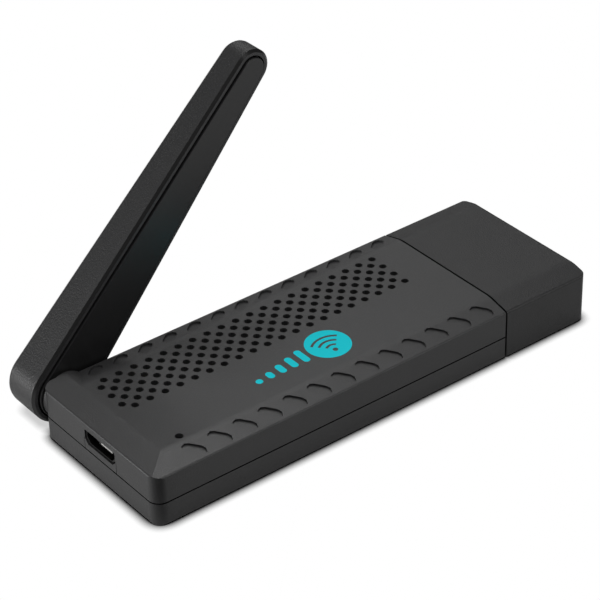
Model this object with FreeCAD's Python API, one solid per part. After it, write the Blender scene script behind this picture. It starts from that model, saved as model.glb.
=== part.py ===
import FreeCAD, Part
import math
import os
from FreeCAD import Vector

# Wireless display adapter: a flat plastic stick with a television plug under a pull-off cap at
# one end, a power socket at the other and a paddle antenna hinged on one rear corner.
# Millimetres. X runs from the power socket end to the cap, Y across the width, Z up.
# The origin is the middle of the flat underside of the closed stick.

# Housing
total_length = 86.45
body_length = 68.8
body_width = 30.6
body_height = 9.8
band_drop = 1.05
band_width = 4.2
usb_end_drop = 0.85
usb_slope_length = 4.0
parting_below_board = 0.35
wall = 1.2
corner_radius = 2.0
bend_radius = 6.0
ridge_radius = 0.35
foot_radius = 0.3
lip_thickness = 0.55
lip_height = 0.9
parting_groove_height = 0.13
parting_groove_depth = 0.35
fit_gap = 0.1

# Plug cap
seam_gap = 0.35
cap_ridge_radius = 0.5
cap_corner_radius = 1.1
cap_foot_radius = 0.8
cap_wall = 1.5
cap_end_wall = 1.8
plug_pocket_gap = 0.2
plug_pocket_depth = 12.4
grip_rib_width = 1.0
grip_rib_offset = 4.0
grip_rib_gap = 0.05
core_rib = 0.9

# Vent field in the top
vent_radius = 0.66
vent_pitch = 1.99
vent_row_count = 7
vent_column_count = 20
vent_side_count = 8
vent_inset_x = 7.95
vent_from_bend = 1.57

# Finger grip marks on the sloped bands
grip_count = 13
grip_pitch = 4.73
grip_inset_x = 8.75
grip_from_edge = 2.2
grip_width = 2.0
grip_length = 3.95
grip_depth = 0.38
grip_angle = 45.0
grip_end_side_count = 4

# Light window
light_inset_x = 8.54
light_from_bend = 1.52
light_hole_radius = 0.68
light_pipe_radius = 0.54
light_flange_radius = 1.1
light_flange_height = 0.6
light_recess = 0.8
light_side_count = 16
led_length = 1.6
led_width = 0.8
led_height = 0.6

# Circuit board
board_thickness = 1.0
board_above_middle = 0.05
board_edge_gap = 0.4
board_notch_y = 5.0
board_hole_radius = 0.8
post_radius = 1.3
post_side_count = 10
post_inset_x = 12.0
post_from_edge = 3.3
pin_radius = 0.7
pin_rise = 0.5
rib_height = 0.9
rib_thickness = 0.9
rib_count = 4

# Television plug
plug_width = 13.9
plug_height = 4.45
plug_reach = 11.7
plug_root = 6.0
plug_corner = 1.3
plug_sheet = 0.35
plug_leg_length = 3.0
plug_leg_width = 1.2
plug_slot_height = 1.4
plug_slot_width = 12.2
plug_slot_floor = 2.0
plug_nose_recess = 0.6
plug_contact_width = 0.45
plug_contact_thickness = 0.2
plug_contact_pitch = 1.0
plug_upper_contact_count = 10
plug_lower_contact_count = 9
plug_tongue_width = 11.4
plug_tongue_length = 1.6

# Power socket
usb_y = -0.75
usb_width = 7.7
usb_height = 2.15
usb_depth = 5.2
usb_recess = 0.2
usb_corner = 0.8
usb_sheet = 0.2
usb_opening_gap = 0.2
usb_tab_margin = 0.12
usb_lip_height = 0.4
usb_lip_length = 0.6
usb_lip_recess = 0.03
usb_sheet_notch = 1.2
usb_tongue_thickness = 0.6
usb_tongue_width = 3.9
usb_contact_count = 5
usb_contact_pitch = 0.65
usb_contact_width = 0.32
usb_contact_thickness = 0.12

# Hinge
hinge_inset_x = 4.23
boss_radius = 4.05
boss_below_top = 0.03
boss_stand_out = 0.25
boss_length = 4.9
boss_edge_chamfer = 0.35
pad_edge_round = 0.7
pad_from_bend = 1.1
bush_radius = 2.2
bush_flange_radius = 2.7
bush_flange = 0.5
shaft_radius = 1.6
shaft_bore_radius = 0.95
shaft_flange_radius = 2.6
shaft_flange = 0.7
shaft_end = 0.7
running_gap = 0.05
press_gap = 0.02
washer_height = 0.6
washer_sheet = 0.3
clip_thickness = 0.45
clip_radius = 2.6
clip_groove_depth = 0.35

# Paddle antenna
antenna_angle = 48.0
antenna_reach = 58.3
antenna_floor_gap = 0.22
antenna_tip_radius = 3.15
antenna_side_gap = 0.66
antenna_hub_depth = 7.5
antenna_tip_depth = 5.2
antenna_edge_chamfer = 0.42
antenna_edge_round = 1.1
antenna_round_step_count = 4
antenna_rim = 0.5
antenna_wall = 1.2
cover_gap = 0.3
cover_stand_out = 0.32
cover_edge_chamfer = 0.06
cover_seat = 1.0
cover_ledge = 0.6
hub_ring_wall = 0.7

# Antenna circuit and its lead
strip_thickness = 0.8
strip_start = 9.0
strip_end_gap = 1.2
strip_side_gap = 0.5
lead_radius = 0.4
lead_side_count = 8
lead_loop_rise = 2.3
lead_bend = 1.5
lead_join_depth = 2.7
lead_clamp_length = 3.0

# Chips and small parts on the board
chip_side = 14.0
chip_offset_x = 3.5
chip_height = 1.2
pad_side = 12.0
spreader_length = 24.0
spreader_width = 15.0
spreader_height = 0.8
spreader_gap = 0.4
memory_length = 12.0
memory_width = 8.0
memory_height = 1.0
memory_spacing = 1.5
storage_spacing = 4.0
module_side = 12.0
module_height = 0.6
shield_side = 11.2
shield_height = 1.5
shield_sheet = 0.2
coil_side = 4.0
coil_height = 1.6
capacitor_length = 1.6
capacitor_width = 0.8
capacitor_height = 0.8
capacitor_row_count = 6
capacitor_pitch = 2.2
capacitor_from_chip = 2.5
capacitor_pair_spread = 2.6
capacitor_from_socket = 2.0
crystal_length = 3.2
crystal_width = 2.5
crystal_height = 0.8
jack_radius = 1.3
jack_height = 1.3
jack_flat = 0.2

# Places worked out from the sizes
x_usb = -total_length / 2
x_tip = total_length / 2
x_seam = x_usb + body_length
half_width = body_width / 2
flat_half = half_width - band_width
side_height = body_height - band_drop
usb_end_height = body_height - usb_end_drop
board_middle_z = body_height / 2 + board_above_middle
board_top = board_middle_z + board_thickness / 2
board_bottom = board_middle_z - board_thickness / 2
parting_height = board_bottom - parting_below_board
spreader_low = body_height - wall - spreader_gap - spreader_height
light_y = light_from_bend - flat_half
vent_row_step = vent_pitch / math.sqrt(2)
vent_first_y = flat_half - vent_from_bend - (vent_row_count - 1) * vent_row_step
hinge_x = x_usb + hinge_inset_x
hinge_z = body_height - boss_radius - boss_below_top
antenna_hub_radius = hinge_z - antenna_floor_gap
boss_face = half_width + boss_stand_out
boss_inner = boss_face - boss_length
antenna_near = half_width + antenna_side_gap
lead_join_y = half_width - lead_join_depth
far_above_everything = 2 * body_height


def box(x0, x1, y0, y1, z0, z1):
    return Part.makeBox(x1 - x0, y1 - y0, z1 - z0, Vector(x0, y0, z0))


def centred_box(x, y, z0, length, width, height):
    return box(x - length / 2, x + length / 2, y - width / 2, y + width / 2, z0, z0 + height)


def pillar(radius, sides, x, y, z0, z1):
    """Upright round post or hole, drawn with a few flat sides."""
    points = []
    for side in range(sides + 1):
        turn = 2 * math.pi * (side + 0.5) / sides
        points.append(Vector(x + radius * math.cos(turn), y + radius * math.sin(turn), z0))
    return Part.Face(Part.makePolygon(points)).extrude(Vector(0, 0, z1 - z0))


def joined(shapes):
    first = shapes[0]
    if len(shapes) == 1:
        return first
    return first.multiFuse(shapes[1:]).removeSplitter()


def export(node, shape):
    if not shape.isValid():
        raise ValueError(node + " is not a valid solid")
    shape.exportStep("parts/" + node + ".step")


# Flat outlines, drawn as corner points with a rounding radius at each corner

def drawn_in(points, inset):
    """Corner points of a convex outline, drawn anticlockwise, moved in by an inset."""
    moved = []
    count = len(points)
    for i in range(count):
        lines = []
        for a, b in ((points[i - 1], points[i]), (points[i], points[(i + 1) % count])):
            run = math.hypot(b[0] - a[0], b[1] - a[1])
            normal = (-(b[1] - a[1]) / run, (b[0] - a[0]) / run)
            lines.append((normal, normal[0] * a[0] + normal[1] * a[1] + inset))
        (n1, d1), (n2, d2) = lines
        cross = n1[0] * n2[1] - n1[1] * n2[0]
        moved.append(((d1 * n2[1] - d2 * n1[1]) / cross, (n1[0] * d2 - n2[0] * d1) / cross))
    return moved


def rounded_face(points, radii, place):
    """Flat face bounded by straight lines with tangent arcs at the corners."""
    stretches = []
    arcs = []
    count = len(points)
    for i in range(count):
        corner = Vector(points[i][0], points[i][1], 0)
        back = (Vector(*points[i - 1], 0) - corner).normalize()
        ahead = (Vector(*points[(i + 1) % count], 0) - corner).normalize()
        half = back.getAngle(ahead) / 2
        radius = radii[i]
        reach = radius / math.tan(half)
        to_centre = (back + ahead).normalize()
        middle = corner + to_centre * (radius / math.sin(half) - radius)
        stretches.append((corner + back * reach, corner + ahead * reach))
        arcs.append(middle)
    edges = []
    for i in range(count):
        start, end = stretches[i]
        following = stretches[(i + 1) % count][0]
        if radii[i] > 0:
            edges.append(Part.Arc(place(start), place(arcs[i]), place(end)).toShape())
        if (following - end).Length > 1e-6:
            edges.append(Part.LineSegment(place(end), place(following)).toShape())
    return Part.Face(Part.Wire(edges))


def across(x):
    return lambda p: Vector(x, p.x, p.y)


def level(z):
    return lambda p: Vector(p.x, p.y, z)


def lengthwise(y):
    return lambda p: Vector(p.x, y, p.y)


# Housing

def section_prism(inset, x0, x1, ridge):
    """Cross section of the stick, with its flat top and two sloped bands, run along X."""
    corners = [
        (-half_width, 0.0), (half_width, 0.0), (half_width, side_height),
        (flat_half, body_height), (-flat_half, body_height), (-half_width, side_height)]
    radii = [foot_radius, foot_radius, ridge, bend_radius, bend_radius, ridge]
    radii = [max(r - inset, 0.0) for r in radii]
    face = rounded_face(drawn_in(corners, inset), radii, across(x0))
    return face.extrude(Vector(x1 - x0, 0, 0))


def hinge_pad():
    """Full-height pad over the hinge, where the sloped band is left out, with a soft outer edge."""
    low = Vector(x_usb - corner_radius, 0, parting_height)
    high = Vector(x_usb - corner_radius, 0, body_height)
    crest = Vector(hinge_x, 0, body_height)
    radius = body_height - hinge_z
    middle = Vector(hinge_x + radius * math.sin(math.pi / 4), 0, hinge_z + radius * math.cos(math.pi / 4))
    side = Vector(hinge_x + radius, 0, hinge_z)
    foot = Vector(hinge_x + radius, 0, parting_height)
    outline = Part.Wire([
        Part.LineSegment(low, high).toShape(), Part.LineSegment(high, crest).toShape(),
        Part.Arc(crest, middle, side).toShape(), Part.LineSegment(side, foot).toShape(),
        Part.LineSegment(foot, low).toShape()])
    start = flat_half - pad_from_bend
    outline.translate(Vector(0, start, 0))
    pad = Part.Face(outline).extrude(Vector(0, half_width - start, 0))
    outer = [e for e in pad.Edges
             if e.BoundBox.YMin > half_width - fit_gap and e.BoundBox.ZMax > side_height
             and e.BoundBox.XLength > fit_gap]
    return pad.makeFillet(pad_edge_round, outer)


def housing_form(inset):
    """Outer form of the housing, or with an inset its hollow."""
    section = section_prism(inset, x_usb + inset, x_seam - inset, ridge_radius)
    if inset == 0:
        section = joined([section, hinge_pad()])
    plan = drawn_in(
        [(x_usb, -half_width), (x_seam, -half_width), (x_seam, half_width), (x_usb, half_width)],
        inset)
    round_end = max(corner_radius - inset, 0.0)
    footprint = rounded_face(plan, [round_end, 0, 0, round_end], level(-1.0))
    side = drawn_in(
        [(x_usb, 0.0), (x_seam, 0.0), (x_seam, body_height),
         (x_usb + usb_slope_length, body_height), (x_usb, usb_end_height)],
        inset)
    radii = [max(foot_radius - inset, 0.0), 0, 0, bend_radius, max(ridge_radius - inset, 0.0)]
    profile = rounded_face(side, radii, lengthwise(-half_width - wall))
    form = section.common(footprint.extrude(Vector(0, 0, far_above_everything)))
    return form.common(profile.extrude(Vector(0, body_width + 2 * wall, 0)))


def above(z):
    reach = total_length
    return box(-reach, reach, -reach, reach, z, far_above_everything)


def below(z):
    reach = total_length
    return box(-reach, reach, -reach, reach, -far_above_everything, z)


def hinge_boss():
    """Round barrel across the rear corner that carries the antenna's shaft."""
    at = Vector(hinge_x, boss_inner, hinge_z)
    barrel = Part.makeCylinder(boss_radius, boss_length, at, Vector(0, 1, 0))
    outer = [e for e in barrel.Edges if e.BoundBox.YMin > boss_face - fit_gap]
    return barrel.makeChamfer(boss_edge_chamfer, outer)


def hinge_bore():
    radius = bush_radius + press_gap
    start = Vector(hinge_x, boss_inner - 1.0, hinge_z)
    return Part.makeCylinder(radius, boss_length + 2.0, start, Vector(0, 1, 0))


def hinge_room():
    """Room behind the boss for the bush's flange, the spring washer and the clip."""
    radius = bush_flange_radius + running_gap
    length = bush_flange + washer_height + clip_thickness + shaft_end + 1.0
    start = Vector(hinge_x, boss_inner - length, hinge_z)
    return Part.makeCylinder(radius, length, start, Vector(0, 1, 0))


def socket_corners(margin):
    """Power socket outline: flat top, with both lower corners cut off."""
    half = usb_width / 2 + margin
    low = board_top - margin
    top = board_top + usb_height + margin
    cut = usb_corner
    return [
        (usb_y - half + cut, low), (usb_y + half - cut, low), (usb_y + half, low + cut),
        (usb_y + half, top), (usb_y - half, top), (usb_y - half, low + cut)]


def socket_prism(margin, x0, x1):
    radii = [0, 0, 0, 0.3, 0.3, 0]
    return rounded_face(socket_corners(margin), radii, across(x0)).extrude(Vector(x1 - x0, 0, 0))


def plug_corners(margin):
    """Television plug outline: wide top, with both lower corners cut off."""
    half = plug_width / 2 + margin
    low = board_middle_z - plug_height / 2 - margin
    top = board_middle_z + plug_height / 2 + margin
    cut = plug_corner
    return [
        (-half + cut, low), (half - cut, low), (half, low + cut), (half, top), (-half, top),
        (-half, low + cut)]


def plug_prism(margin, x0, x1):
    radii = [0.3, 0.3, 0.3, 0.4, 0.4, 0.3]
    return rounded_face(plug_corners(margin), radii, across(x0)).extrude(Vector(x1 - x0, 0, 0))


def usb_tab(gap):
    """Tab of the lower shell that closes the wall under the power socket."""
    half = usb_width / 2 + usb_opening_gap + usb_tab_margin + gap
    top = board_top + usb_corner
    return box(x_usb - gap, x_usb + wall, usb_y - half, usb_y + half, parting_height, top)


def vent_field():
    """Staggered rows of round holes, on a square grid turned by 45 degrees."""
    column_step = 2 * vent_row_step
    holes = []
    for row in range(vent_row_count):
        shift = 0.0 if row % 2 == 0 else -column_step / 2
        y = vent_first_y + row * vent_row_step
        for column in range(vent_column_count):
            x = x_usb + vent_inset_x + shift + column * column_step
            low = body_height - 2 * wall
            holes.append(pillar(vent_radius, vent_side_count, x, y, low, body_height + wall))
    return holes


def grip_mark(x, side):
    """Shallow slanted pocket with round ends, sunk square to the sloped band."""
    straight = (grip_length - grip_width) / 2
    radius = grip_width / 2
    points = []
    for end in (1, -1):
        for i in range(grip_end_side_count + 1):
            turn = math.pi * (i / grip_end_side_count - 0.5)
            points.append(Vector(end * (straight + radius * math.cos(turn)), end * radius * math.sin(turn),
                                 -grip_depth))
    pocket = Part.Face(Part.makePolygon(points + points[:1])).extrude(Vector(0, 0, 5 * grip_depth))
    slope = math.degrees(math.atan2(body_height - side_height, band_width))
    y = half_width - grip_from_edge
    z = side_height + (body_height - side_height) * grip_from_edge / band_width
    pocket.rotate(Vector(0, 0, 0), Vector(0, 0, 1), side * grip_angle)
    pocket.rotate(Vector(0, 0, 0), Vector(1, 0, 0), -side * slope)
    pocket.translate(Vector(x, side * y, z))
    return pocket


def grip_marks():
    marks = []
    for side in (-1, 1):
        for i in range(grip_count):
            marks.append(grip_mark(x_usb + grip_inset_x + i * grip_pitch, side))
    return marks


def post_places():
    y = half_width - post_from_edge
    return [(x, s * y) for x in (x_usb + post_inset_x, x_seam - post_inset_x) for s in (-1, 1)]


def top_shell():
    """Upper half of the housing, open below, with vents, grip marks and its half of the boss."""
    form = housing_form(0.0)
    hollow = housing_form(wall)
    shell = form.cut(hollow).fuse(hinge_boss()).common(above(parting_height))
    inside_skin = housing_form(wall / 2)
    posts = []
    for x, y in post_places():
        post = pillar(post_radius, post_side_count, x, y, board_top, body_height)
        socket = pillar(board_hole_radius, post_side_count, x, y, board_top, board_top + pin_rise + fit_gap)
        posts.append(post.cut(socket).common(inside_skin))
    shell = shell.fuse(posts)
    lip_room = housing_form(wall - lip_thickness - fit_gap)
    lip_room = lip_room.common(box(x_usb, x_seam, -half_width, half_width,
                                   parting_height, parting_height + lip_height + fit_gap))
    lip_room = lip_room.cut(hinge_boss())
    cuts = [lip_room, hinge_bore(), hinge_room(), usb_tab(fit_gap)]
    cuts.append(socket_prism(usb_opening_gap, x_usb - 1.0, x_usb + 2 * wall))
    cuts.append(plug_prism(fit_gap, x_seam - 2 * wall, x_seam + 1.0))
    cuts.append(pillar(light_hole_radius, light_side_count, x_usb + light_inset_x, light_y, board_top,
                       2 * body_height))
    return shell.cut(cuts + grip_marks()).cut(vent_field())


def bottom_shell():
    """Lower half of the housing: a tray with an upstanding lip, board posts and stiffening ribs."""
    form = housing_form(0.0)
    hollow = housing_form(wall)
    shell = form.cut(hollow).fuse(hinge_boss()).common(below(parting_height))
    groove = form.cut(housing_form(parting_groove_depth))
    groove = groove.common(box(x_usb - 1.0, x_seam + 1.0, -half_width - wall, half_width + 1.0,
                               parting_height - parting_groove_height, parting_height))
    shell = shell.cut(groove)
    lip_band = box(x_usb, x_seam, -half_width, half_width,
                   parting_height - wall, parting_height + lip_height)
    lip = housing_form(wall - lip_thickness).cut(hollow).common(lip_band)
    around_boss = Part.makeCylinder(boss_radius + fit_gap, 2 * boss_length,
                                    Vector(hinge_x, boss_inner - fit_gap, hinge_z), Vector(0, 1, 0))
    lip = lip.cut(around_boss.common(above(parting_height)))
    tab = usb_tab(0.0)
    ribs = []
    span = body_length - 2 * post_inset_x
    for i in range(rib_count):
        x = x_usb + post_inset_x + span * (i + 0.5) / rib_count
        ribs.append(box(x - rib_thickness / 2, x + rib_thickness / 2, -half_width + wall / 2,
                        half_width - wall / 2, wall / 2, wall + rib_height))
    posts = []
    for x, y in post_places():
        posts.append(pillar(post_radius, post_side_count, x, y, wall / 2, board_bottom))
        posts.append(pillar(pin_radius, post_side_count, x, y, wall, board_top + pin_rise))
    shell = joined([shell, lip, tab] + ribs + posts)
    cuts = [hinge_bore(), hinge_room()]
    cuts.append(socket_prism(usb_opening_gap, x_usb - 1.0, x_usb + 2 * wall))
    cuts.append(plug_prism(fit_gap, x_seam - 2 * wall, x_seam + 1.0))
    return shell.cut(cuts)


def plug_cap():
    """Pull-off cap with a pocket for the plug and a cored-out pocket on each side of it."""
    x0 = x_seam + seam_gap
    section = section_prism(0.0, x0, x_tip, cap_ridge_radius)
    plan = [(x0, -half_width), (x_tip, -half_width), (x_tip, half_width), (x0, half_width)]
    footprint = rounded_face(plan, [0, cap_corner_radius, cap_corner_radius, 0], level(-1.0))
    side = [(x0, 0.0), (x_tip, 0.0), (x_tip, body_height), (x0, body_height)]
    profile = rounded_face(side, [0, cap_foot_radius, cap_ridge_radius, 0], lengthwise(-half_width - wall))
    cap = section.common(footprint.extrude(Vector(0, 0, far_above_everything)))
    cap = cap.common(profile.extrude(Vector(0, body_width + 2 * wall, 0)))
    pocket = plug_prism(plug_pocket_gap, x0 - 1.0, x_seam + plug_pocket_depth)
    ribs = []
    for sign in (-1, 1):
        for y in (-grip_rib_offset, grip_rib_offset):
            inner = plug_height / 2 + grip_rib_gap
            outer = plug_height / 2 + plug_pocket_gap + 0.2
            low, high = sorted((board_middle_z + sign * inner, board_middle_z + sign * outer))
            ribs.append(box(x0 + cap_wall, x_seam + plug_pocket_depth, y - grip_rib_width / 2,
                            y + grip_rib_width / 2, low, high))
    cap = cap.cut(pocket.cut(ribs))
    core = section_prism(cap_wall, x0 - 1.0, x_tip - cap_end_wall, cap_ridge_radius)
    inner_side = plug_width / 2 + plug_pocket_gap + cap_wall
    rib_middle = (inner_side + half_width - cap_wall) / 2
    for side in (-1, 1):
        low, high = sorted((side * inner_side, side * body_width))
        pocket = core.common(box(x0 - 1.0, x_tip, low, high, 0.0, body_height))
        low, high = sorted((side * (rib_middle - core_rib / 2), side * (rib_middle + core_rib / 2)))
        cap = cap.cut(pocket.cut(box(x0 - 1.0, x_tip, low, high, 0.0, body_height)))
    return cap


# Circuit board and what it carries

def main_board():
    x0 = x_usb + wall + board_edge_gap
    x1 = x_seam - plug_root - fit_gap
    half = half_width - wall - board_edge_gap
    board = box(x0, x1, -half, half, board_bottom, board_top)
    notch_end = hinge_x + boss_radius + board_edge_gap
    board = board.cut(box(x0 - 1.0, notch_end, board_notch_y, half + 1.0, 0.0, body_height))
    tongue = box(x1 - 1.0, x1 + plug_tongue_length, -plug_tongue_width / 2, plug_tongue_width / 2,
                 board_bottom, board_top)
    board = board.fuse(tongue).removeSplitter()
    for x, y in post_places():
        board = board.cut(pillar(board_hole_radius, post_side_count, x, y, 0.0, body_height))
    return board


def plug_shell():
    """Folded sheet sleeve of the television plug, with a solder leg on each side."""
    x0 = x_seam - plug_root
    x1 = x_seam + plug_reach
    sleeve = plug_prism(0.0, x0, x1).cut(plug_prism(-plug_sheet, x0 - 1.0, x1 + 1.0))
    legs = []
    for side in (-1, 1):
        low, high = sorted((side * plug_width / 2, side * (plug_width / 2 - plug_leg_width)))
        wing = box(x0 - plug_leg_length, x0, low, high, board_top, board_top + plug_sheet)
        inner = plug_width / 2 - plug_sheet
        low, high = sorted((side * plug_width / 2, side * inner))
        root = box(x0 - plug_leg_length, x0 + plug_sheet, low, high, board_top, board_top + 2 * plug_sheet)
        legs += [wing, root]
    return joined([sleeve] + legs)


def plug_contact_places():
    """Across-places and heights of the two rows of contacts, the lower row one fewer."""
    places = []
    rest = board_thickness / 2
    rows = [
        (plug_upper_contact_count, rest),
        (plug_lower_contact_count, -rest - plug_contact_thickness)]
    for count, low in rows:
        for i in range(count):
            places.append(((i - (count - 1) / 2) * plug_contact_pitch, board_middle_z + low))
    return places


def plug_contact(y, z, margin):
    x0 = x_seam - plug_root - fit_gap
    x1 = x_seam + plug_reach - 2 * plug_nose_recess
    return box(x0 - margin, x1 + margin, y - plug_contact_width / 2 - margin,
               y + plug_contact_width / 2 + margin, z - margin, z + plug_contact_thickness + margin)


def plug_insulator():
    """Moulded block inside the plug, slotted for the tongue of the television's socket."""
    x0 = x_seam - plug_root + plug_tongue_length + fit_gap
    x1 = x_seam + plug_reach - plug_nose_recess
    block = plug_prism(-plug_sheet - press_gap, x0, x1)
    low = board_middle_z - plug_slot_height / 2
    slot = box(x_seam + plug_slot_floor, x1 + 1.0, -plug_slot_width / 2, plug_slot_width / 2,
               low, low + plug_slot_height)
    block = block.cut(slot)
    return block.cut([plug_contact(y, z, press_gap) for y, z in plug_contact_places()])


def plug_contacts():
    return Part.makeCompound([plug_contact(y, z, 0.0) for y, z in plug_contact_places()])


def usb_shell():
    """Folded sheet shell of the power socket, open at the mouth, turned out to a lip on one side."""
    x0 = x_usb + usb_recess
    x1 = x0 + usb_depth
    sleeve = socket_prism(0.0, x0, x1).cut(socket_prism(-usb_sheet, x0 - 1.0, x1 + 1.0))
    top = board_top + usb_height
    outer = usb_width / 2 - 2 * usb_sheet
    high = top + usb_opening_gap - fit_gap / 2
    mouth = x_usb + usb_lip_recess
    lip = box(mouth, mouth + usb_lip_length, usb_y - outer, usb_y, high - usb_lip_height, high)
    notch = box(x0 - 1.0, x0 + usb_sheet_notch, usb_y, usb_y + outer, top - usb_sheet, top + usb_sheet)
    return joined([sleeve.cut(notch), lip])


def usb_tongue_low():
    return board_top + usb_height / 2


def usb_tongue():
    """Moulded back of the power socket with the tongue that carries its contacts."""
    x0 = x_usb + usb_recess
    back = socket_prism(-usb_sheet - press_gap, x0 + usb_depth * 0.65, x0 + usb_depth)
    low = usb_tongue_low()
    tongue = box(x0 + 3 * usb_sheet, x0 + usb_depth * 0.7, usb_y - usb_tongue_width / 2,
                 usb_y + usb_tongue_width / 2, low, low + usb_tongue_thickness)
    block = back.fuse(tongue).removeSplitter()
    return block.cut([usb_contact(i, press_gap) for i in range(usb_contact_count)])


def usb_contact(index, margin):
    """One contact: a strip under the tongue whose tail turns down to the board."""
    y = usb_y + (index - (usb_contact_count - 1) / 2) * usb_contact_pitch
    x0 = x_usb + usb_recess
    x1 = x0 + usb_depth + usb_contact_thickness + press_gap
    low = usb_tongue_low() - usb_contact_thickness
    side = usb_contact_width / 2 + margin
    strip = box(x0 + 4 * usb_sheet - margin, x1, y - side, y + side,
                low - margin, low + usb_contact_thickness + margin)
    if margin > 0:
        return strip
    tail = box(x1 - usb_contact_thickness, x1, y - side, y + side, board_top, low + usb_contact_thickness)
    return strip.fuse(tail).removeSplitter()


def usb_contacts():
    return Part.makeCompound([usb_contact(i, 0.0) for i in range(usb_contact_count)])


def chip_x():
    return (x_usb + x_seam) / 2 + chip_offset_x


def chip_y():
    return vent_first_y + 1.5


def main_chip():
    return centred_box(chip_x(), chip_y(), board_top, chip_side, chip_side, chip_height)


def thermal_pad():
    """Soft pad that fills the room between the main chip and the heat spreader."""
    low = board_top + chip_height
    return centred_box(chip_x(), chip_y(), low, pad_side, pad_side, spreader_low - low)


def heat_spreader():
    return centred_box(chip_x(), chip_y(), spreader_low, spreader_length, spreader_width, spreader_height)


def module_x():
    return x_usb + post_inset_x + module_side / 2


def module_y():
    return usb_y - module_side / 6


def radio_module():
    return centred_box(module_x(), module_y(), board_top, module_side, module_side, module_height)


def shield_can():
    """Folded sheet lid over the radio module, open underneath."""
    z = board_top + module_height
    lid = centred_box(module_x(), module_y(), z, shield_side, shield_side, shield_height)
    inside = shield_side - 2 * shield_sheet
    return lid.cut(centred_box(module_x(), module_y(), z - 1.0, inside, inside,
                               shield_height + 1.0 - shield_sheet))


def memory_chips():
    """Two memory chips side by side under the board, below the main chip."""
    chips = []
    for side in (-1, 1):
        y = chip_y() + side * (memory_width + memory_spacing) / 2
        chips.append(centred_box(chip_x(), y, board_bottom - memory_height,
                                 memory_length, memory_width, memory_height))
    return Part.makeCompound(chips)


def storage_chip():
    x = chip_x() - memory_length - storage_spacing
    return centred_box(x, chip_y(), board_bottom - memory_height, memory_width, memory_length, memory_height)


def power_coils():
    """Two wound coils of the power supply, between the main chip and the plug."""
    coils = []
    x = x_seam - plug_root - plug_leg_length - coil_side
    for side in (-1, 1):
        y = side * (plug_width / 2 + plug_pocket_gap)
        coils.append(centred_box(x, y, board_top, coil_side, coil_side, coil_height))
    return Part.makeCompound(coils)


def power_chip():
    x = x_seam - plug_root - plug_leg_length - coil_side
    return centred_box(x, 0.0, board_top, coil_side, coil_side, capacitor_height)


def capacitors():
    """Small capacitors in a row beside the main chip and a pair by the power socket."""
    parts = []
    row_y = chip_y() - chip_side / 2 - capacitor_from_chip
    for i in range(capacitor_row_count):
        x = chip_x() + (i - (capacitor_row_count - 1) / 2) * capacitor_pitch
        parts.append(centred_box(x, row_y, board_top, capacitor_width, capacitor_length, capacitor_height))
    for side in (-1, 1):
        x = x_usb + usb_recess + usb_depth + capacitor_from_socket
        y = usb_y + side * capacitor_pair_spread
        parts.append(centred_box(x, y, board_top, capacitor_width, capacitor_length, capacitor_height))
    return Part.makeCompound(parts)


def crystal():
    x = chip_x() + chip_side / 2 + crystal_length
    return centred_box(x, chip_y() - chip_side / 2, board_top, crystal_length, crystal_width, crystal_height)


def status_led():
    return centred_box(x_usb + light_inset_x, light_y, board_top, led_length, led_width, led_height)


def light_pipe():
    """Clear pin that carries the lamp's light to its window, held by a flange under the top."""
    x = x_usb + light_inset_x
    pin = pillar(light_pipe_radius, light_side_count, x, light_y, board_top + led_height + fit_gap,
                 body_height - light_recess)
    high = body_height - wall - fit_gap / 2
    flange = pillar(light_flange_radius, light_side_count, x, light_y, high - light_flange_height, high)
    return joined([pin, flange])


# Hinge

def tube(outer, inner, y0, y1):
    """Round sleeve on the hinge's line, from y0 to y1."""
    at = Vector(hinge_x, y0, hinge_z)
    along = Vector(0, 1, 0)
    sleeve = Part.makeCylinder(outer, y1 - y0, at, along)
    return sleeve.cut(Part.makeCylinder(inner, y1 - y0, at, along))


def hinge_bush():
    bore = shaft_radius + running_gap
    sleeve = tube(bush_radius, bore, boss_inner - bush_flange / 2, boss_face - fit_gap)
    flange = tube(bush_flange_radius, bore, boss_inner - bush_flange, boss_inner)
    return joined([sleeve, flange])


def clip_y():
    return boss_inner - bush_flange - washer_height - clip_thickness


def shaft_inner_end():
    return clip_y() - shaft_end


def cover_inner():
    return antenna_near + cover_seat


def hinge_shaft():
    """Hollow shaft with a head inside the antenna and a groove for its clip."""
    head_end = cover_inner() + shaft_flange
    shaft = tube(shaft_radius, shaft_bore_radius, shaft_inner_end(), head_end)
    head = tube(shaft_flange_radius, shaft_bore_radius, cover_inner(), head_end)
    groove = tube(shaft_radius + 1.0, shaft_radius - clip_groove_depth,
                  clip_y() - press_gap, clip_y() + clip_thickness + press_gap)
    return joined([shaft, head]).cut(groove)


def friction_washer():
    """Dished spring washer that keeps the antenna where it is put."""
    low = clip_y() + clip_thickness + press_gap
    high = boss_inner - bush_flange - press_gap
    inner = shaft_radius + 2 * running_gap
    outer = bush_flange_radius - fit_gap
    points = [
        (inner, low), (inner, low + washer_sheet), (outer, high), (outer, high - washer_sheet),
        (inner, low)]
    face = Part.Face(Part.makePolygon([Vector(hinge_x + r, y, hinge_z) for r, y in points]))
    return face.revolve(Vector(hinge_x, 0, hinge_z), Vector(0, 1, 0), 360)


def hinge_clip():
    """Open ring that snaps into the shaft's groove."""
    inner = shaft_radius - clip_groove_depth + press_gap
    ring = tube(clip_radius, inner, clip_y(), clip_y() + clip_thickness)
    mouth = shaft_radius - clip_groove_depth
    opening = box(hinge_x - mouth, hinge_x + mouth, clip_y() - 1.0, clip_y() + 1.0,
                  hinge_z - 2 * clip_radius, hinge_z)
    return ring.cut(opening)


# Antenna, drawn folded along +X from the hinge and then raised about it

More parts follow.
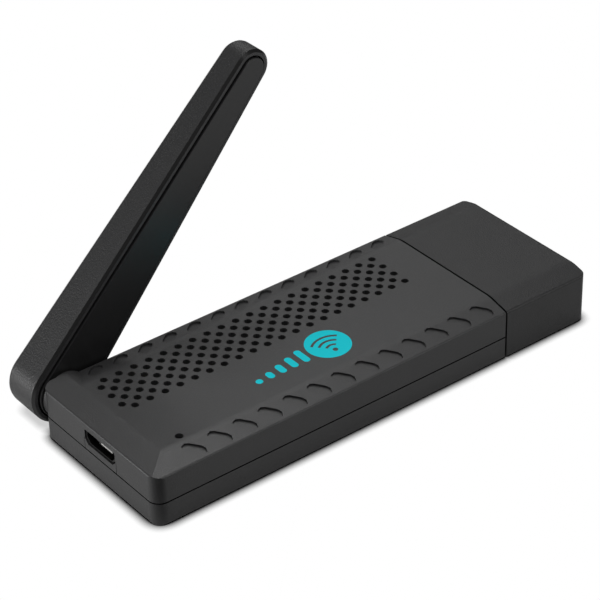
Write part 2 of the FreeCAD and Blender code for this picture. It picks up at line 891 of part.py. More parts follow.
def paddle_outline(inset, y_at):
    """Long outline with a large round hub and a small round tip, at the depth given along it."""
    hub = antenna_hub_radius - inset
    tip = antenna_tip_radius - inset
    taper = math.asin((antenna_hub_radius - antenna_tip_radius) / antenna_reach)
    along = math.sin(taper)
    out = math.cos(taper)

    def at(x, z):
        return Vector(x, y_at(x), z)

    hub_high = at(hub * along, hub * out)
    hub_low = at(hub * along, -hub * out)
    tip_high = at(antenna_reach + tip * along, tip * out)
    tip_low = at(antenna_reach + tip * along, -tip * out)
    return Part.Wire([
        Part.Arc(hub_low, at(-hub, 0), hub_high).toShape(),
        Part.LineSegment(hub_high, tip_high).toShape(),
        Part.Arc(tip_high, at(antenna_reach + tip, 0), tip_low).toShape(),
        Part.LineSegment(tip_low, hub_low).toShape()])


def paddle_prism(inset, y0, y1):
    return Part.Face(paddle_outline(inset, lambda x: y0)).extrude(Vector(0, y1 - y0, 0))


def back_y(x, drawn):
    """Place of the antenna's leaning back face, or of a face drawn in from it."""
    fall = (antenna_hub_depth - antenna_tip_depth) / antenna_reach
    return antenna_near + antenna_hub_depth - fall * x - drawn


def under_back(drawn):
    x0 = -4 * antenna_hub_radius
    x1 = antenna_reach + 4 * antenna_hub_radius
    low = -4 * antenna_hub_radius
    corners = [
        (x0, antenna_near - 2.0), (x1, antenna_near - 2.0), (x1, back_y(x1, drawn)), (x0, back_y(x0, drawn)),
        (x0, antenna_near - 2.0)]
    face = Part.Face(Part.makePolygon([Vector(x, y, low) for x, y in corners]))
    return face.extrude(Vector(0, 0, -2 * low))


def raised(shape):
    """Turns a folded antenna piece up to its standing angle and sets it on the hinge."""
    lifted = shape.copy()
    lifted.rotate(Vector(0, 0, 0), Vector(0, 1, 0), -antenna_angle)
    lifted.translate(Vector(hinge_x, 0, hinge_z))
    return lifted


def paddle_form():
    """Outside of the paddle: chamfered at the front, its leaning back rounded at the edge."""
    outlines = [
        paddle_outline(antenna_edge_chamfer, lambda x: antenna_near),
        paddle_outline(0.0, lambda x: antenna_near + antenna_edge_chamfer)]
    for i in range(antenna_round_step_count + 1):
        turn = math.pi / 2 * i / antenna_round_step_count
        drawn = antenna_edge_round * (1 - math.sin(turn))
        inset = antenna_edge_round * (1 - math.cos(turn))
        outlines.append(paddle_outline(inset, lambda x: back_y(x, drawn)))
    return Part.makeLoft(outlines, True, True)


def recess_inset():
    return antenna_edge_chamfer + antenna_rim


def antenna_shell():
    """Outer shell of the paddle: an open tray with a leaning back and a ring round the hinge."""
    deep = antenna_near + 2 * antenna_hub_depth
    form = paddle_form()
    recess = paddle_prism(recess_inset(), antenna_near - 1.0, cover_inner())
    hollow = paddle_prism(recess_inset() + cover_ledge, antenna_near, deep).common(under_back(antenna_wall))
    shell = form.cut(recess).cut(hollow)
    ring_start = Vector(0, cover_inner() + shaft_flange, 0)
    along = Vector(0, 1, 0)
    outer = Part.makeCylinder(shaft_flange_radius, antenna_hub_depth, ring_start, along)
    inner = Part.makeCylinder(shaft_flange_radius - hub_ring_wall, antenna_hub_depth, ring_start, along)
    ring = outer.cut(inner)
    lead_way = 4 * lead_radius
    ring = ring.cut(box(0, 2 * shaft_flange_radius, antenna_near, deep, -lead_way / 2, lead_way / 2))
    ring = ring.common(under_back(antenna_wall / 2))
    return raised(joined([shell, ring]))


def antenna_cover():
    """Flat inner cover of the paddle, set into the shell's rim."""
    inset = recess_inset() + cover_gap
    y0 = antenna_near - cover_stand_out
    plate = paddle_prism(inset, y0, cover_inner())
    front = [e for e in plate.Edges if all(abs(v.Y - y0) < 1e-4 for v in e.Vertexes)]
    plate = plate.makeChamfer(cover_edge_chamfer, front)
    start = Vector(0, y0 - cover_seat, 0)
    hole = Part.makeCylinder(shaft_radius + press_gap, 4 * cover_seat, start, Vector(0, 1, 0))
    return raised(plate.cut(hole))


def antenna_strip():
    """Long narrow circuit board, the antenna itself, fixed to the inside of the cover."""
    inset = recess_inset() + cover_ledge + strip_side_gap
    strip = paddle_prism(inset, cover_inner(), cover_inner() + strip_thickness)
    reach = antenna_reach - strip_end_gap
    keep = box(strip_start, reach, antenna_near, antenna_near + antenna_hub_depth,
               -antenna_hub_radius, antenna_hub_radius)
    return raised(strip.common(keep))


def lead_tube(points, bend):
    """Round lead along straight runs joined by tangent arcs."""
    edges = []
    at = points[0]
    for i in range(1, len(points) - 1):
        corner = points[i]
        back = (points[i - 1] - corner).normalize()
        ahead = (points[i + 1] - corner).normalize()
        half = back.getAngle(ahead) / 2
        radius = min(bend, 0.45 * math.tan(half) * min((points[i - 1] - corner).Length,
                                                       (points[i + 1] - corner).Length))
        reach = radius / math.tan(half)
        middle = corner + (back + ahead).normalize() * (radius / math.sin(half) - radius)
        start = corner + back * reach
        edges.append(Part.LineSegment(at, start).toShape())
        at = corner + ahead * reach
        edges.append(Part.Arc(start, middle, at).toShape())
    edges.append(Part.LineSegment(at, points[-1]).toShape())
    path = Part.Wire(edges)
    along = (points[1] - points[0]).normalize()
    side = along.cross(Vector(0, 0, 1)).normalize()
    rise = side.cross(along)
    ring = []
    for i in range(lead_side_count + 1):
        turn = 2 * math.pi * i / lead_side_count
        ring.append(points[0] + side * (lead_radius * math.cos(turn)) + rise * (lead_radius * math.sin(turn)))
    return path.makePipeShell([Part.makePolygon(ring)], True, False)


def antenna_lead():
    """Thin coaxial lead from the antenna strip, round into the hollow shaft, up to its middle."""
    y = cover_inner() + strip_thickness + lead_radius
    top = y + lead_loop_rise
    points = [
        Vector(strip_start + lead_clamp_length, y, 0), Vector(strip_start - lead_bend, y, 0),
        Vector(strip_start / 2, top, 0), Vector(0, top, 0), Vector(0, lead_join_y, 0)]
    return raised(lead_tube(points, lead_bend))


def jack_place():
    return Vector(x_usb + post_inset_x, board_notch_y + 2 * jack_radius, board_top)


def board_lead():
    """The same lead's other run, from the middle of the shaft down to its jack on the board."""
    jack = jack_place()
    z = board_top + lead_radius + fit_gap
    points = [
        Vector(hinge_x, lead_join_y, hinge_z),
        Vector(hinge_x, shaft_inner_end() - bush_flange_radius, hinge_z),
        Vector(hinge_x + lead_clamp_length, board_notch_y + lead_radius, z),
        Vector(jack.x - lead_clamp_length, jack.y, z), Vector(jack.x - jack_radius + jack_flat, jack.y, z)]
    return lead_tube(points, lead_bend)


def lead_jack():
    """Round snap-on jack that joins the lead to the board."""
    at = jack_place()
    jack = Part.makeCylinder(jack_radius, jack_height, at)
    return jack.cut(box(at.x - 2 * jack_radius, at.x - jack_radius + jack_flat, at.y - jack_radius,
                        at.y + jack_radius, 0, body_height))


PIECES = {
    "top_shell": top_shell,
    "bottom_shell": bottom_shell,
    "plug_cap": plug_cap,
    "main_board": main_board,
    "plug_shell": plug_shell,
    "plug_insulator": plug_insulator,
    "plug_contacts": plug_contacts,
    "usb_shell": usb_shell,
    "usb_tongue": usb_tongue,
    "usb_contacts": usb_contacts,
    "main_chip": main_chip,
    "thermal_pad": thermal_pad,
    "heat_spreader": heat_spreader,
    "memory_chips": memory_chips,
    "storage_chip": storage_chip,
    "radio_module": radio_module,
    "shield_can": shield_can,
    "power_coils": power_coils,
    "power_chip": power_chip,
    "capacitors": capacitors,
    "crystal": crystal,
    "status_led": status_led,
    "light_pipe": light_pipe,
    "hinge_bush": hinge_bush,
    "hinge_shaft": hinge_shaft,
    "friction_washer": friction_washer,
    "hinge_clip": hinge_clip,
    "antenna_shell": antenna_shell,
    "antenna_cover": antenna_cover,
    "antenna_strip": antenna_strip,
    "antenna_lead": antenna_lead,
    "board_lead": board_lead,
    "lead_jack": lead_jack,
}

os.makedirs("parts", exist_ok=True)
for name, make in PIECES.items():
    export(name, make())
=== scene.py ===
import math

import bpy
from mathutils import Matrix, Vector


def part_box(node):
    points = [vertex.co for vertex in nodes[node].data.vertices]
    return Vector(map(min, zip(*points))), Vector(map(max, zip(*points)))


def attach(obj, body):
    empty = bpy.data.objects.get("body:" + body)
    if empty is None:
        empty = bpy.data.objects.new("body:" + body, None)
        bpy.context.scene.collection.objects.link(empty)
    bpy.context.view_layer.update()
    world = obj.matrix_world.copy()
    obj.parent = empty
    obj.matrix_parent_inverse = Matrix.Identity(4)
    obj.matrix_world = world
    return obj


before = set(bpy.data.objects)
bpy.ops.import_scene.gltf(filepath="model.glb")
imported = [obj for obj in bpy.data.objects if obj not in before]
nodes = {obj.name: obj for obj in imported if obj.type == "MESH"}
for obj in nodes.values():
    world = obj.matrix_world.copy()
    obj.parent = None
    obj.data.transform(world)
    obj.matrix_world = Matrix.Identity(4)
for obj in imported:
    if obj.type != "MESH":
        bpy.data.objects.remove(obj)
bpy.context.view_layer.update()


# Housing
# The two black halves are injection moulded in a tough matte plastic and snap together along
# a fine groove. Their moulds are spark-eroded, which leaves an even, very fine grain.

def place_node(tree, kind, **values):
    """Adds a shader node and sets its sockets and options by name."""
    made = tree.nodes.new(kind)
    for key, value in values.items():
        if key in made.inputs:
            made.inputs[key].default_value = value
        else:
            setattr(made, key, value)
    return made


def new_finish(name):
    """A new surface finish with its node tree, its shader and the object's own coordinates."""
    finish = bpy.data.materials.new(name)
    finish.use_nodes = True
    tree = finish.node_tree
    spot = place_node(tree, "ShaderNodeTexCoord")
    return finish, tree, tree.nodes["Principled BSDF"], spot.outputs["Object"]


def spread(tree, source, start, end, low=0.0, high=1.0):
    """Maps numbers from start to end onto low to high, and holds them there beyond."""
    made = place_node(tree, "ShaderNodeMapRange")
    for name, value in (("From Min", start), ("From Max", end), ("To Min", low), ("To Max", high)):
        made.inputs[name].default_value = value
    tree.links.new(source, made.inputs["Value"])
    return made.outputs["Result"]


def varied(tree, source, low, high):
    """Turns a texture's output into a number between two limits."""
    return spread(tree, source, 0.3, 0.7, low, high)


def blended(tree, kind, factor, first, second):
    """Mixes two colours or two numbers, each either fixed or another node's output."""
    mix = place_node(tree, "ShaderNodeMix", data_type=kind)
    socket_type = "RGBA" if kind == "RGBA" else "VALUE"
    sides = [side for side in mix.inputs if side.name in "AB" and side.type == socket_type]
    for side, value in zip(sides, (first, second)):
        if isinstance(value, bpy.types.NodeSocket):
            tree.links.new(value, side)
        else:
            side.default_value = (*value, 1.0) if kind == "RGBA" else value
    tree.links.new(factor, mix.inputs["Factor"])
    return [result for result in mix.outputs if result.type == socket_type][0]


def tinted(tree, source, dark, light):
    """Turns a texture's output into a colour between two colours."""
    return blended(tree, "RGBA", source, dark, light)


def laid_over(finish, factor, colour, roughness):
    """Lays a second colour and roughness over a finish where the factor is one."""
    tree = finish.node_tree
    shader = tree.nodes["Principled BSDF"]
    under_colour = shader.inputs["Base Color"].links[0].from_socket
    under_roughness = shader.inputs["Roughness"].links[0].from_socket
    tree.links.new(blended(tree, "RGBA", factor, under_colour, colour), shader.inputs["Base Color"])
    tree.links.new(blended(tree, "FLOAT", factor, under_roughness, roughness), shader.inputs["Roughness"])


def axes_of(tree, source):
    """Splits a place or a direction into its X, Y and Z numbers."""
    split = place_node(tree, "ShaderNodeSeparateXYZ")
    tree.links.new(source, split.inputs["Vector"])
    return split.outputs


def sum_of(tree, operation, *values):
    """A sum or comparison of fixed numbers and other nodes' outputs."""
    made = place_node(tree, "ShaderNodeMath", operation=operation)
    for socket, value in zip(made.inputs, values):
        if isinstance(value, bpy.types.NodeSocket):
            tree.links.new(value, socket)
        else:
            socket.default_value = value
    return made.outputs["Value"]


def moulded_plastic(name, colour, roughness, grain_size, grain_depth, gloss=0.5):
    """Moulded plastic with a spark-eroded grain over a faint, slow change of shade."""
    finish, tree, shader, spot = new_finish(name)
    grain = place_node(tree, "ShaderNodeTexNoise", Scale=1 / grain_size, Detail=3.0, Roughness=0.6)
    flow = place_node(tree, "ShaderNodeTexNoise", Scale=160.0, Detail=2.0)
    tree.links.new(spot, grain.inputs["Vector"])
    tree.links.new(spot, flow.inputs["Vector"])
    bump = place_node(tree, "ShaderNodeBump", Strength=1.0, Distance=grain_depth)
    tree.links.new(grain.outputs["Fac"], bump.inputs["Height"])
    tree.links.new(bump.outputs["Normal"], shader.inputs["Normal"])
    tree.links.new(varied(tree, grain.outputs["Fac"], roughness - 0.05, roughness + 0.05),
                   shader.inputs["Roughness"])
    dark = [c * 0.92 for c in colour]
    light = [c * 1.08 for c in colour]
    tree.links.new(tinted(tree, flow.outputs["Fac"], dark, light), shader.inputs["Base Color"])
    shader.inputs["Specular IOR Level"].default_value = gloss
    return finish


def finish_nodes(finish, *names):
    for name in names:
        nodes[name].data.materials.clear()
        nodes[name].data.materials.append(finish)


housing_plastic = moulded_plastic("housing_plastic", (0.0225, 0.0225, 0.0229), 0.42, 0.00022, 0.00003)
finish_nodes(housing_plastic, "top_shell", "bottom_shell")

# Painted shade keeps the parting groove and its two thin edges black, and ambient occlusion paints
# shade onto the walls of the grip marks on the near side.
painted_shade_colour = (0.0005, 0.0005, 0.0005)
crevice = 0.0004
crevice_black_to = 0.2
crevice_clear_from = 0.65
edge_width = 0.00005
groove_width = 0.00013
parting_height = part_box("top_shell")[0][2]
tree = housing_plastic.node_tree
place = axes_of(tree, place_node(tree, "ShaderNodeTexCoord").outputs["Object"])
over_low = sum_of(tree, "GREATER_THAN", place["Z"], parting_height - groove_width - edge_width)
under_high = sum_of(tree, "LESS_THAN", place["Z"], parting_height + edge_width)
in_groove = sum_of(tree, "MULTIPLY", over_low, under_high)
closeness = place_node(tree, "ShaderNodeAmbientOcclusion", Distance=crevice)
closeness.samples = 8
in_crevice = spread(tree, closeness.outputs["AO"], crevice_black_to, crevice_clear_from, 1.0, 0.0)
near_side = sum_of(tree, "LESS_THAN", place["Y"], 0.0)
painted_shade = sum_of(tree, "MAXIMUM", in_groove, sum_of(tree, "MULTIPLY", in_crevice, near_side))
# Lays the painted shade over the plastic and takes away its reflection there.
laid_over(housing_plastic, painted_shade, painted_shade_colour, 0.6)
gloss_socket = tree.nodes["Principled BSDF"].inputs["Specular IOR Level"]
tree.links.new(blended(tree, "FLOAT", painted_shade, gloss_socket.default_value, 0.0), gloss_socket)


# Plug cap
# One hollow moulding in a slightly darker plastic, pushed over the television plug and held
# there by small ribs inside. It has the housing's own cross section.

cap_plastic = moulded_plastic("cap_plastic", (0.01, 0.01, 0.0103), 0.46, 0.00024, 0.00004)
finish_nodes(cap_plastic, "plug_cap")


# Printed sign
# A wireless sign pad-printed in turquoise ink on the flat of the top: a row of rising bars
# and a round spot with three waves left open in it.

ink_height = 0.000015
print_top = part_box("top_shell")[1][2]
spot_centre = (-0.0027, -0.005)
spot_radius = 0.0038
wave_origin = (spot_centre[0], spot_centre[1] - spot_radius / 2)
wave_reaches = (0.0014, 0.0026, 0.0038)
wave_width = 0.00045
wave_half_turn = math.radians(42)
first_bar_x = -0.0171
bar_pitch = 0.0023
bar_width = 0.0012
bar_count = 5
bar_base_y = -0.0068
shortest_bar = 0.0012
bar_growth = 0.0006


def ring_points(centre, radius, start, end, count):
    points = []
    for i in range(count + 1):
        turn = start + (end - start) * i / count
        points.append((centre[0] + radius * math.cos(turn), centre[1] + radius * math.sin(turn)))
    return points


def bar_outline(x, length):
    """Upright bar with round ends."""
    half = bar_width / 2
    high = ring_points((x, bar_base_y + length - half), half, 0, math.pi, 12)
    low = ring_points((x, bar_base_y + half), half, math.pi, 2 * math.pi, 12)
    return high + low


def wave_outline(reach):
    """Arc-shaped gap with round ends, centred over the foot of the sign."""
    half = wave_width / 2
    up = math.pi / 2
    first, last = up - wave_half_turn, up + wave_half_turn
    outer = ring_points(wave_origin, reach + half, first, last, 24)
    inner = ring_points(wave_origin, reach - half, last, first, 24)
    return outer + inner


def ink_shape(name, outlines):
    """Flat filled shape from closed outlines, where an outline inside another is left open."""
    curve = bpy.data.curves.new(name, "CURVE")
    curve.dimensions = "2D"
    curve.fill_mode = "BOTH"
    for outline in outlines:
        line = curve.splines.new("POLY")
        line.points.add(len(outline) - 1)
        for point, (x, y) in zip(line.points, outline):
            point.co = (x, y, 0.0, 1.0)
        line.use_cyclic_u = True
    drawing = bpy.data.objects.new(name + "_drawing", curve)
    bpy.context.scene.collection.objects.link(drawing)
    view = bpy.context.evaluated_depsgraph_get()
    mesh = bpy.data.meshes.new_from_object(drawing.evaluated_get(view))
    bpy.data.objects.remove(drawing)
    flat = bpy.data.objects.new(name, mesh)
    flat.location.z = print_top + ink_height
    bpy.context.scene.collection.objects.link(flat)
    return flat


ink, tree, shader, spot = new_finish("turquoise_ink")
speckle = place_node(tree, "ShaderNodeTexNoise", Scale=5200.0, Detail=2.0)
tree.links.new(spot, speckle.inputs["Vector"])
tree.links.new(tinted(tree, speckle.outputs["Fac"], (0.004, 0.43, 0.5), (0.008, 0.5, 0.57)),
               shader.inputs["Base Color"])
tree.links.new(varied(tree, speckle.outputs["Fac"], 0.5, 0.62), shader.inputs["Roughness"])
shader.inputs["Specular IOR Level"].default_value = 0.1

bars = [bar_outline(first_bar_x + i * bar_pitch, shortest_bar + i * bar_growth) for i in range(bar_count)]
spot_line = ring_points(spot_centre, spot_radius, 0, 2 * math.pi, 64)[:-1]
foot = ring_points(wave_origin, wave_width, 0, 2 * math.pi, 20)[:-1]
waves = [wave_outline(reach) for reach in wave_reaches]
for name, outlines in (("printed_bars", bars), ("printed_spot", [spot_line, foot] + waves)):
    sign = ink_shape(name, outlines)
    sign.data.materials.clear()
    sign.data.materials.append(ink)
    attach(sign, "adapter")


# Television plug and power socket
# Both are folded from nickel-plated steel sheet round a black moulded block whose gold
# contacts reach back to the board. The sheet keeps faint rolling lines along its length.

def plated_sheet(name, colour, roughness):
    finish, tree, shader, spot = new_finish(name)
    drawn = place_node(tree, "ShaderNodeMapping")
    drawn.inputs["Scale"].default_value = (0.06, 1.0, 1.0)
    tree.links.new(spot, drawn.inputs["Vector"])
    lines = place_node(tree, "ShaderNodeTexNoise", Scale=6000.0, Detail=3.0, Roughness=0.7)
    tree.links.new(drawn.outputs["Vector"], lines.inputs["Vector"])
    bloom = place_node(tree, "ShaderNodeTexNoise", Scale=300.0, Detail=2.0)
    tree.links.new(spot, bloom.inputs["Vector"])
    bump = place_node(tree, "ShaderNodeBump", Strength=0.6, Distance=0.000004)
    tree.links.new(lines.outputs["Fac"], bump.inputs["Height"])
    tree.links.new(bump.outputs["Normal"], shader.inputs["Normal"])
    tree.links.new(varied(tree, lines.outputs["Fac"], roughness - 0.06, roughness + 0.08),
                   shader.inputs["Roughness"])
    dark = [c * 0.88 for c in colour]
    tree.links.new(tinted(tree, bloom.outputs["Fac"], dark, colour), shader.inputs["Base Color"])
    shader.inputs["Metallic"].default_value = 1.0
    return finish


finish_nodes(plated_sheet("plug_nickel", (0.62, 0.61, 0.58), 0.28), "plug_shell")

# The socket's shell is painted near black as painted shade inside its mouth, and the top of its turned-out
# lip on one side carries a painted highlight.
socket_painted_shade_and_glint = plated_sheet("socket_painted_shade_and_glint", (0.035, 0.035, 0.035), 0.42)
tree = socket_painted_shade_and_glint.node_tree
lip_height = 0.00025
lip_start = 0.0005
lip_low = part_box("usb_shell")[1][2] - lip_height
socket_middle_y = sum(corner[1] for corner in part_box("usb_shell")) / 2
place = axes_of(tree, place_node(tree, "ShaderNodeTexCoord").outputs["Object"])
above = sum_of(tree, "GREATER_THAN", place["Z"], lip_low)
beside = sum_of(tree, "LESS_THAN", place["Y"], socket_middle_y - lip_start)
laid_over(socket_painted_shade_and_glint, sum_of(tree, "MULTIPLY", above, beside), (0.75, 0.74, 0.72), 0.3)
finish_nodes(socket_painted_shade_and_glint, "usb_shell")
finish_nodes(moulded_plastic("insulator_plastic", (0.016, 0.016, 0.017), 0.45, 0.00015, 0.000004),
             "plug_insulator", "usb_tongue")
contact_gold = plated_sheet("contact_gold", (0.83, 0.6, 0.25), 0.25)
finish_nodes(contact_gold, "plug_contacts", "usb_contacts", "lead_jack")


# Circuit boards
# Green solder mask over copper tracks on glass laminate: the main board, the radio module's
# small board and the long aerial strip in the paddle.

board_green, tree, shader, spot = new_finish("board_green")
tracks = place_node(tree, "ShaderNodeTexBrick", Scale=700.0)
tracks.offset = 0.37
tracks.inputs["Mortar Size"].default_value = 0.06
tracks.inputs["Color1"].default_value = (0.008, 0.075, 0.03, 1.0)
tracks.inputs["Color2"].default_value = (0.006, 0.06, 0.024, 1.0)
tracks.inputs["Mortar"].default_value = (0.018, 0.13, 0.05, 1.0)
tree.links.new(spot, tracks.inputs["Vector"])
tree.links.new(tracks.outputs["Color"], shader.inputs["Base Color"])
weave = place_node(tree, "ShaderNodeTexWave", Scale=900.0, Distortion=1.0)
tree.links.new(spot, weave.inputs["Vector"])
bump = place_node(tree, "ShaderNodeBump", Strength=0.5, Distance=0.00001)
tree.links.new(tracks.outputs["Fac"], bump.inputs["Height"])
tree.links.new(bump.outputs["Normal"], shader.inputs["Normal"])
tree.links.new(varied(tree, weave.outputs["Fac"], 0.28, 0.36), shader.inputs["Roughness"])
finish_nodes(board_green, "main_board", "radio_module", "antenna_strip")


# Chips and their cooling
# The processor, memory, storage and power chips are cast in dark resin. A soft grey pad
# carries the processor's heat to a black anodised aluminium plate under the vents.

chip_resin = moulded_plastic("chip_resin", (0.028, 0.028, 0.03), 0.48, 0.00009, 0.000004)
finish_nodes(chip_resin, "main_chip", "memory_chips", "storage_chip", "power_chip")
finish_nodes(moulded_plastic("pad_silicone", (0.33, 0.34, 0.37), 0.75, 0.0003, 0.00001), "thermal_pad")

anodised, tree, shader, spot = new_finish("anodised_plate")
dye = place_node(tree, "ShaderNodeTexNoise", Scale=4000.0, Detail=3.0)
tree.links.new(spot, dye.inputs["Vector"])
tree.links.new(tinted(tree, dye.outputs["Fac"], (0.006, 0.006, 0.0065), (0.01, 0.01, 0.011)),
               shader.inputs["Base Color"])
tree.links.new(varied(tree, dye.outputs["Fac"], 0.55, 0.65), shader.inputs["Roughness"])
finish_nodes(anodised, "heat_spreader")


# Small parts on the board
# The radio's folded tin lid, the crystal's can, pressed ferrite coils, fired ceramic
# capacitors, the status lamp and the clear pin that carries its light to the window.

finish_nodes(plated_sheet("tin_plate", (0.66, 0.65, 0.62), 0.34), "shield_can", "crystal")
finish_nodes(moulded_plastic("coil_ferrite", (0.09, 0.09, 0.095), 0.65, 0.00012, 0.000012), "power_coils")
finish_nodes(moulded_plastic("capacitor_ceramic", (0.42, 0.3, 0.18), 0.5, 0.00012, 0.000005), "capacitors")
finish_nodes(moulded_plastic("lamp_resin", (0.8, 0.74, 0.46), 0.3, 0.0002, 0.000002), "status_led")
finish_nodes(moulded_plastic("light_acrylic", (0.05, 0.05, 0.055), 0.15, 0.0003, 0.000001), "light_pipe")


# Hinge
# A turned brass shaft runs in a natural acetal bush in the housing's boss. A dished spring
# washer, held by an open clip, gives the friction that keeps the antenna where it is put.

finish_nodes(moulded_plastic("bush_acetal", (0.72, 0.71, 0.67), 0.42, 0.0002, 0.000004), "hinge_bush")

turned_brass, tree, shader, spot = new_finish("turned_brass")
cut_lines = place_node(tree, "ShaderNodeTexWave", Scale=4500.0, Distortion=0.6, Detail=2.0)
cut_lines.bands_direction = "Y"
tree.links.new(spot, cut_lines.inputs["Vector"])
bump = place_node(tree, "ShaderNodeBump", Strength=0.5, Distance=0.000005)
tree.links.new(cut_lines.outputs["Fac"], bump.inputs["Height"])
tree.links.new(bump.outputs["Normal"], shader.inputs["Normal"])
tree.links.new(tinted(tree, cut_lines.outputs["Fac"], (0.6, 0.44, 0.2), (0.7, 0.53, 0.26)),
               shader.inputs["Base Color"])
shader.inputs["Metallic"].default_value = 1.0
shader.inputs["Roughness"].default_value = 0.28
finish_nodes(turned_brass, "hinge_shaft")
finish_nodes(plated_sheet("spring_steel", (0.5, 0.5, 0.49), 0.3), "friction_washer", "hinge_clip")


# Paddle antenna
# A tapered tray with round ends, closed by a flat cover set into its rim. Tray and cover are
# moulded in black plastic, the tray with a coarser grain and a polished bevel round its edges.
# The bevel is painted darker as painted shade, and the tray's faces turned along the hinge axis
# are painted lighter as painted light.

antenna_plastic = moulded_plastic("antenna_plastic", (0.014, 0.014, 0.0144), 0.42, 0.0003, 0.00007)
tree = antenna_plastic.node_tree
facing = axes_of(tree, place_node(tree, "ShaderNodeTexCoord").outputs["Normal"])
sideways = sum_of(tree, "ABSOLUTE", facing["Y"])
bevel_slope = 0.7
bevel_margin = 0.18
flat_slope = 0.95
slant = sum_of(tree, "COMPARE", sideways, bevel_slope, bevel_margin)
face_on = sum_of(tree, "GREATER_THAN", sideways, flat_slope)
# Painted light: faces turned along the hinge axis get a lighter colour.
laid_over(antenna_plastic, face_on, (0.035, 0.035, 0.036), 0.35)
# Painted shade: the slanted bevel gets a darker colour, and the grain bump is left off it.
laid_over(antenna_plastic, slant, (0.006, 0.006, 0.006), 0.28)
grain_bump = tree.nodes["Principled BSDF"].inputs["Normal"].links[0].from_node
tree.links.new(blended(tree, "FLOAT", slant, 1.0, 0.0), grain_bump.inputs["Strength"])
finish_nodes(antenna_plastic, "antenna_shell")
cover_plastic = moulded_plastic("cover_plastic", (0.008, 0.008, 0.0083), 0.33, 0.0002, 0.000008, gloss=0.65)
finish_nodes(cover_plastic, "antenna_cover")


# Aerial lead
# Thin coaxial lead in a grey extruded jacket, from the strip in the paddle through the hollow
# shaft to the snap-on jack on the board.

lead_jacket = moulded_plastic("lead_jacket", (0.22, 0.22, 0.23), 0.5, 0.0002, 0.000004)
finish_nodes(lead_jacket, "antenna_lead", "board_lead")


# Table and light
# A white table top and a white wall behind it. A round black patch is painted on the table in
# front of the near corner as painted shade for the light it bounces, and the table shows the camera
# a painted contact shadow. A large soft lamp hangs above, smaller ones hang high at the back and
# stand behind at the right, low on the left and close on the right.

table_drop = 0.00003
table_half = 3.0
contact_reach = 0.0021
contact_black_to = 0.5
contact_clear_from = 0.95
shade_patch_centre = (-0.058, -0.035, 0.0)
shade_patch_radius = 0.026
shade_patch_soft_edge = 0.3
hub_near_y = 0.0145
hub_far_y = 0.0165
hub_relief = 0.6

table_mesh = bpy.data.meshes.new("table_top")
corners = [(-table_half, -table_half, 0), (table_half, -table_half, 0), (table_half, table_half, 0),
           (-table_half, table_half, 0)]
table_mesh.from_pydata(corners, [], [(0, 1, 2, 3)])
table = bpy.data.objects.new("table_top", table_mesh)
bpy.context.scene.collection.objects.link(table)
table.location.z = -table_drop

table_paint, tree, shader, spot = new_finish("table_white")
mottle = place_node(tree, "ShaderNodeTexNoise", Scale=40.0, Detail=2.0)
tree.links.new(spot, mottle.inputs["Vector"])
paper = tinted(tree, mottle.outputs["Fac"], (0.53, 0.53, 0.53), (0.57, 0.57, 0.57))
# Painted shade: a round black patch on the table darkens the bounce light and reflections on the near
# corner; the camera sees only the table's glow.
shade_patch_place = place_node(tree, "ShaderNodeMapping")
shade_patch_place.inputs["Location"].default_value = [-c / shade_patch_radius for c in shade_patch_centre]
shade_patch_place.inputs["Scale"].default_value = [1 / shade_patch_radius] * 3
tree.links.new(spot, shade_patch_place.inputs["Vector"])
shade_patch = place_node(tree, "ShaderNodeTexGradient", gradient_type="SPHERICAL")
tree.links.new(shade_patch_place.outputs["Vector"], shade_patch.inputs["Vector"])
in_shade_patch = spread(tree, shade_patch.outputs["Fac"], 0.0, shade_patch_soft_edge)
tree.links.new(blended(tree, "RGBA", in_shade_patch, paper, (0.01, 0.01, 0.01)), shader.inputs["Base Color"])
shader.inputs["Roughness"].default_value = 0.9
shader.inputs["Specular IOR Level"].default_value = 0.1
# Painted contact shadow: for the camera the table glows white, dimmed by ambient occlusion where the stick
# stands close and eased beyond the far side under the antenna hub.
closeness = place_node(tree, "ShaderNodeAmbientOcclusion", Distance=contact_reach)
closeness.samples = 24
open_sky = spread(tree, closeness.outputs["AO"], contact_black_to, contact_clear_from)
under_hub = spread(tree, axes_of(tree, spot)["Y"], hub_near_y, hub_far_y, 0.0, hub_relief)
seen = place_node(tree, "ShaderNodeEmission")
tree.links.new(blended(tree, "FLOAT", under_hub, open_sky, 1.0), seen.inputs["Strength"])
ray = place_node(tree, "ShaderNodeLightPath")
shown = place_node(tree, "ShaderNodeMixShader")
tree.links.new(ray.outputs["Is Camera Ray"], shown.inputs["Fac"])
tree.links.new(shader.outputs["BSDF"], shown.inputs[1])
tree.links.new(seen.outputs["Emission"], shown.inputs[2])
tree.links.new(shown.outputs["Shader"], tree.nodes["Material Output"].inputs["Surface"])
table_mesh.materials.append(table_paint)


def soft_lamp(name, towards, distance, size, power):
    """Square soft lamp at a distance from the stick, turned to face it."""
    light = bpy.data.lights.new(name, "AREA")
    light.shape = "SQUARE"
    light.size = size
    light.energy = power
    lamp = bpy.data.objects.new(name, light)
    bpy.context.scene.collection.objects.link(lamp)
    direction = Vector(towards).normalized()
    lamp.location = direction * distance
    lamp.rotation_euler = (-direction).to_track_quat("-Z", "Y").to_euler()


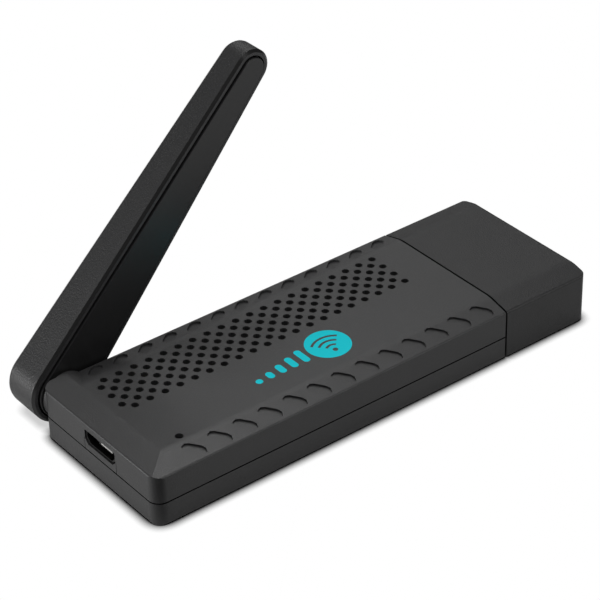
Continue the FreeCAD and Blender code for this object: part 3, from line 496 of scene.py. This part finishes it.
soft_lamp("top_lamp", (-0.19, -0.17, 0.95), 0.7, 0.45, 3.3)
soft_lamp("high_back_lamp", (0.12, 0.33, 0.93), 0.7, 0.12, 0.68)
soft_lamp("high_right_lamp", (0.28, 0.35, 0.90), 0.7, 0.2, 0.58)
soft_lamp("right_lamp", (0.55, 0.45, 0.70), 0.9, 0.4, 0.14)
soft_lamp("back_lamp", (0.50, 0.74, 0.45), 1.1, 0.4, 0.47)
soft_lamp("left_lamp", (-0.95, 0.35, 0.08), 0.5, 0.2, 2.4)
soft_lamp("near_right_lamp", (0.45, -0.76, 0.46), 0.26, 0.08, 0.105)

# Black flags stand all round, so shiny surfaces mirror the white wall at a tenth of its light.
mirrored_share = 0.1
room = bpy.data.worlds.new("room")
bpy.context.scene.world = room
room.use_nodes = True
tree = room.node_tree
dim_light = tree.nodes["Background"]
dim_light.inputs["Color"].default_value = (1, 1, 1, 1)
dim_light.inputs["Strength"].default_value = 0.005
white_wall = place_node(tree, "ShaderNodeBackground", Color=(1, 1, 1, 1), Strength=1.0)
ray = place_node(tree, "ShaderNodeLightPath")
wall_or_light = place_node(tree, "ShaderNodeMixShader")
mirrored = sum_of(tree, "MAXIMUM", ray.outputs["Is Glossy Ray"], ray.outputs["Is Transmission Ray"])
flagged = sum_of(tree, "MULTIPLY", mirrored, mirrored_share)
tree.links.new(sum_of(tree, "MAXIMUM", ray.outputs["Is Camera Ray"], flagged), wall_or_light.inputs["Fac"])
tree.links.new(dim_light.outputs["Background"], wall_or_light.inputs[1])
tree.links.new(white_wall.outputs["Background"], wall_or_light.inputs[2])
tree.links.new(wall_or_light.outputs["Shader"], tree.nodes["World Output"].inputs["Surface"])


# Camera
# It stands in front and to the left, a third of the way up from level, with a long lens.

camera_data = bpy.data.cameras.new("camera")
camera_data.lens = 143.47
camera_data.sensor_width = 36.0
camera = bpy.data.objects.new("camera", camera_data)
bpy.context.scene.collection.objects.link(camera)
camera.location = (-0.192175, -0.24826, 0.22370)
camera.rotation_euler = (math.radians(56.310), math.radians(1.295), math.radians(-38.000))
bpy.context.scene.camera = camera
bpy.context.scene.view_settings.view_transform = "Standard"
